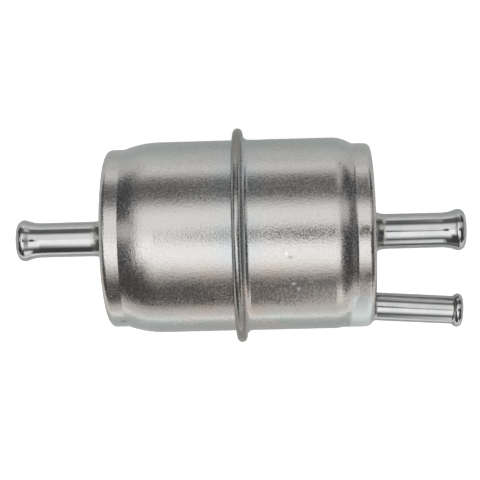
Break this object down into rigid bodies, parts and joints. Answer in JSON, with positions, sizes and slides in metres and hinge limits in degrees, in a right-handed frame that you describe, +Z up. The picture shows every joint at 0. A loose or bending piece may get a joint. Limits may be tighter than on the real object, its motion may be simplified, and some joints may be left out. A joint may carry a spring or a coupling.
{
  "type": "fuel filter",
  "caption": "Round pressed-steel in-line fuel filter with a hemmed seam, beaded inlet and outlet spigots on its axis and a smaller return spigot off to one side.",
  "frame": {"origin": "centre of the bounding box: on the can's axis, in the middle of the hemmed seam, midway between the tips of the inlet and outlet spigots", "axes": "+X along the can's axis from the inlet to the outlet, -Y towards the return spigot, +Z up when the filter lies on its side with the return spigot beside it"},
  "size_m": [0.1014, 0.0484, 0.0484],
  "materials": {
    "zinc_plated_shell": "satin zinc plate with fine draw marks",
    "zinc_plated_tube": "bright zinc plate",
    "braze": "zinc-plated braze",
    "orifice_brass": "turned",
    "sealing_compound": "matt",
    "cap_steel": "tinplate",
    "potting": "matt plastisol",
    "paper": "resin-treated pleated paper",
    "grommet_rubber": "moulded nitrile",
    "spring_steel": "oiled spring wire"
  },
  "bodies": {
    "can": {"inlet_shell": "zinc_plated_shell", "outlet_shell": "zinc_plated_shell", "seam_seal_ring": "sealing_compound", "inlet_tube": "zinc_plated_tube", "outlet_tube": "zinc_plated_tube", "return_tube": "zinc_plated_tube", "inlet_braze": "braze", "outlet_braze": "braze", "return_braze": "braze", "return_orifice": "orifice_brass", "spring_seat": "cap_steel", "element_spring": "spring_steel"},
    "element": {"closed_end_cap": "cap_steel", "open_end_cap": "cap_steel", "closed_cap_potting": "potting", "open_cap_potting": "potting", "core_tube": "cap_steel", "filter_paper": "paper", "paper_seam_clip": "cap_steel", "outlet_grommet": "grommet_rubber"}
  },
  "joints": [
    {"name": "element_slide", "type": "slide", "parent": "can", "child": "element", "axis": [-1, 0, 0], "range_m": [0, 0.002], "stiffness_N_per_m": 1500, "springref_m": -0.006, "deforming": ["element_spring"]}
  ]
}
